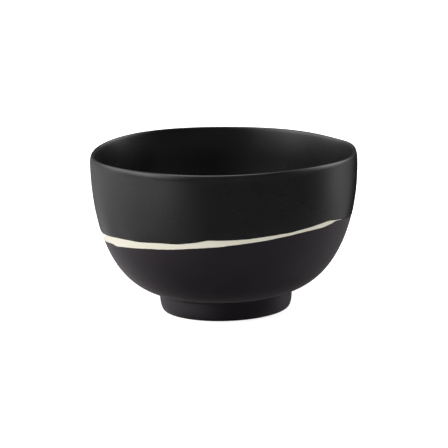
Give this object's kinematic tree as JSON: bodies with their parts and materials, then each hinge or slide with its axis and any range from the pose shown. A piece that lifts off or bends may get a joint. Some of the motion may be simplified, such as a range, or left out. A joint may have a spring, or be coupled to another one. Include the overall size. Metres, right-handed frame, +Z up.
{
  "type": "kintsugi-style footed rice bowl",
  "caption": "Footed rice bowl, hand-thrown and slightly uneven, in satin black glaze over matte dark clay, with an irregular line of bare cream clay round its waist.",
  "frame": {"origin": "middle of the bowl's box, at table level, which is the underside of the foot ring", "axes": "+Z up along the bowl's axis, +X to the bowl's right, -Y to its front, the side that the picture shows"},
  "size_m": [0.1354, 0.135, 0.0823],
  "materials": {
    "glaze": "satin black glaze over matte dark clay"
  },
  "bodies": {
    "root": {"bowl": "glaze"}
  },
  "joints": []
}
